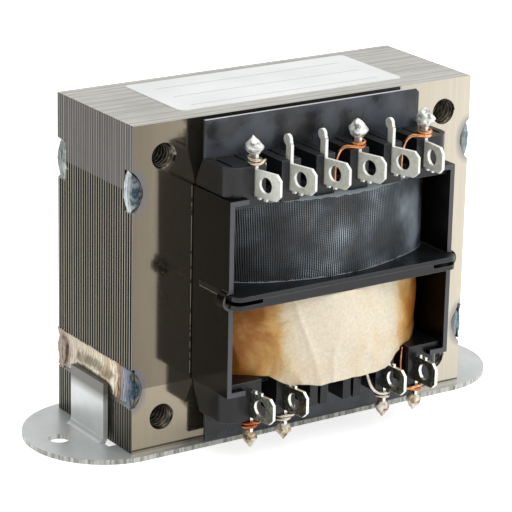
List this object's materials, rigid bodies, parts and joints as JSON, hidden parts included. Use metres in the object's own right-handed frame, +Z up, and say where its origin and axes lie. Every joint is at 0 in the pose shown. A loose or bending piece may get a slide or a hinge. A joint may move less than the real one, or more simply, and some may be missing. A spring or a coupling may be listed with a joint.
{
  "type": "laminated chassis transformer",
  "caption": "Laminated chassis transformer: a welded EI core on a rounded base plate, with split black bobbins, taped windings, flat solder lugs and a bare label.",
  "frame": {"origin": "midway between the two mounting holes, on the underside of the base plate", "axes": "+X from one mounting hole to the other, +Y from the face with the terminals through the core, +Z up out of the base plate"},
  "size_m": [0.129, 0.0756, 0.0808],
  "materials": {
    "core_steel": "varnished electrical steel, bronze tint",
    "weld_steel": "heat-tinted weld metal",
    "zinc_plate": "zinc-plated sheet, satin",
    "bobbin_plastic": "glass-filled nylon, black",
    "shroud_plastic": "black sheet plastic, glossy",
    "card_fibre": "slate-grey fibre card",
    "copper_wire": "enamelled copper",
    "woven_tape": "black woven coil tape",
    "amber_paper": "varnished crepe paper, amber",
    "tinned_brass": "tinned sheet brass",
    "solder": "bright solder",
    "label_paper": "white label film, bare"
  },
  "bodies": {
    "root": {"e_laminations_yoke_down": "core_steel", "e_laminations_yoke_up": "core_steel", "i_laminations_top": "core_steel", "i_laminations_bottom": "core_steel", "long_weld_left": "weld_steel", "long_weld_right": "weld_steel", "corner_welds": "weld_steel", "base_plate": "zinc_plate", "bobbin_upper": "bobbin_plastic", "bobbin_lower": "bobbin_plastic", "shroud_left": "shroud_plastic", "shroud_right": "shroud_plastic", "card_top": "card_fibre", "card_bottom": "card_fibre", "winding_upper": "copper_wire", "winding_lower": "copper_wire", "tape_upper": "woven_tape", "wrap_lower": "amber_paper", "terminal_top_1": "tinned_brass", "terminal_top_2": "tinned_brass", "terminal_top_3": "tinned_brass", "terminal_top_4": "tinned_brass", "terminal_top_5": "tinned_brass", "terminal_top_6": "tinned_brass", "terminal_low_1": "tinned_brass", "terminal_low_2": "tinned_brass", "terminal_low_5": "tinned_brass", "terminal_low_6": "tinned_brass", "solder_top_1": "solder", "solder_top_4": "solder", "solder_top_6": "solder", "solder_low_1": "solder", "solder_low_2": "solder", "solder_low_5": "solder", "solder_low_6": "solder", "lead_top_1": "copper_wire", "lead_top_4": "copper_wire", "lead_top_6": "copper_wire", "lead_low_1": "copper_wire", "lead_low_2": "copper_wire", "lead_low_5": "copper_wire", "lead_low_6": "copper_wire", "label": "label_paper"}
  },
  "joints": []
}
